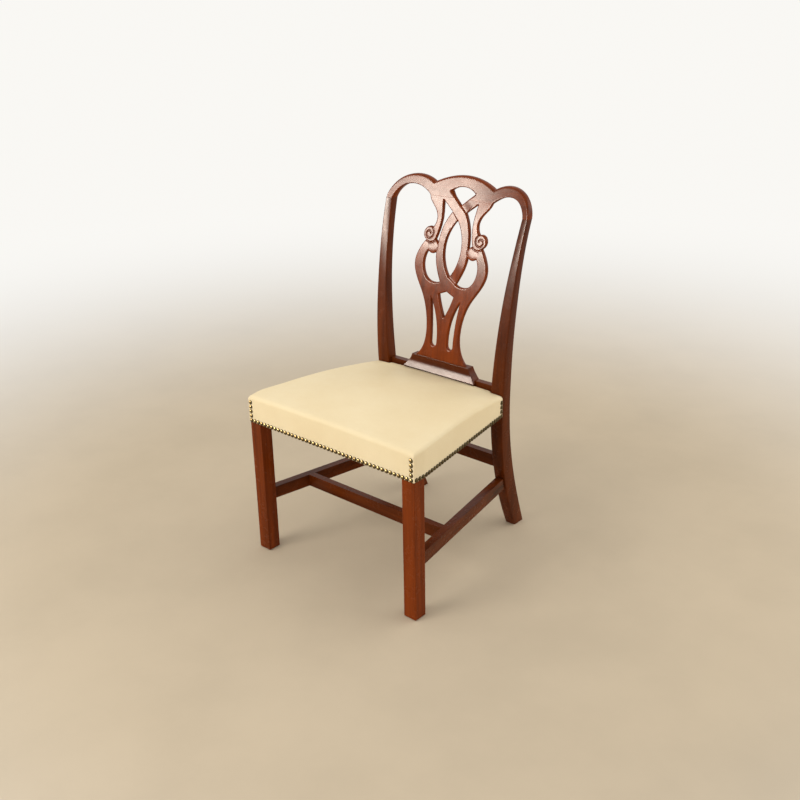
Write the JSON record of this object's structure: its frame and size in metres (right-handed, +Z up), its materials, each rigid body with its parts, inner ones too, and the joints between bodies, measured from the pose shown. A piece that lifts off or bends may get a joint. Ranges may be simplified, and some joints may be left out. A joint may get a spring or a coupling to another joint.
{
  "type": "side chair",
  "caption": "Wooden side chair with a pierced, interlaced splat, shaped crest rail, square front legs, stretchers and a padded leather seat fixed with close nails.",
  "frame": {"origin": "on the floor, under the middle of the chair's bounding box", "axes": "+Z up; the sitter faces -Y; +X is to the right of someone who looks at the chair's front"},
  "size_m": [0.576, 0.592, 0.971],
  "materials": {
    "mahogany": "satin lacquer over reddish-brown mahogany",
    "frame_wood": "plain sawn hardwood, unfinished",
    "leather": "smooth cream leather",
    "pad": "stuffing under wadding",
    "webbing": "woven jute",
    "hessian": "coarse woven jute",
    "nail_bronze": "darkened antique brass",
    "screw_steel": "plain"
  },
  "bodies": {
    "root": {"corner_block_front_left": "frame_wood", "corner_block_front_right": "frame_wood", "corner_block_rear_left": "frame_wood", "corner_block_rear_right": "frame_wood", "corner_block_screws": "screw_steel", "crest_rail": "mahogany", "cross_stretcher": "mahogany", "front_leg_left": "mahogany", "front_leg_right": "mahogany", "front_seat_rail": "frame_wood", "hessian": "hessian", "nails_front": "nail_bronze", "nails_left": "nail_bronze", "nails_right": "nail_bronze", "rear_leg_left": "mahogany", "rear_leg_right": "mahogany", "rear_seat_rail": "mahogany", "rear_stretcher": "mahogany", "seat_cover": "leather", "seat_foam": "pad", "side_seat_rail_left": "frame_wood", "side_seat_rail_right": "frame_wood", "side_stretcher_left": "mahogany", "side_stretcher_right": "mahogany", "splat": "mahogany", "splat_shoe": "mahogany", "webbing_crosswise": "webbing", "webbing_lengthwise": "webbing"}
  },
  "joints": []
}
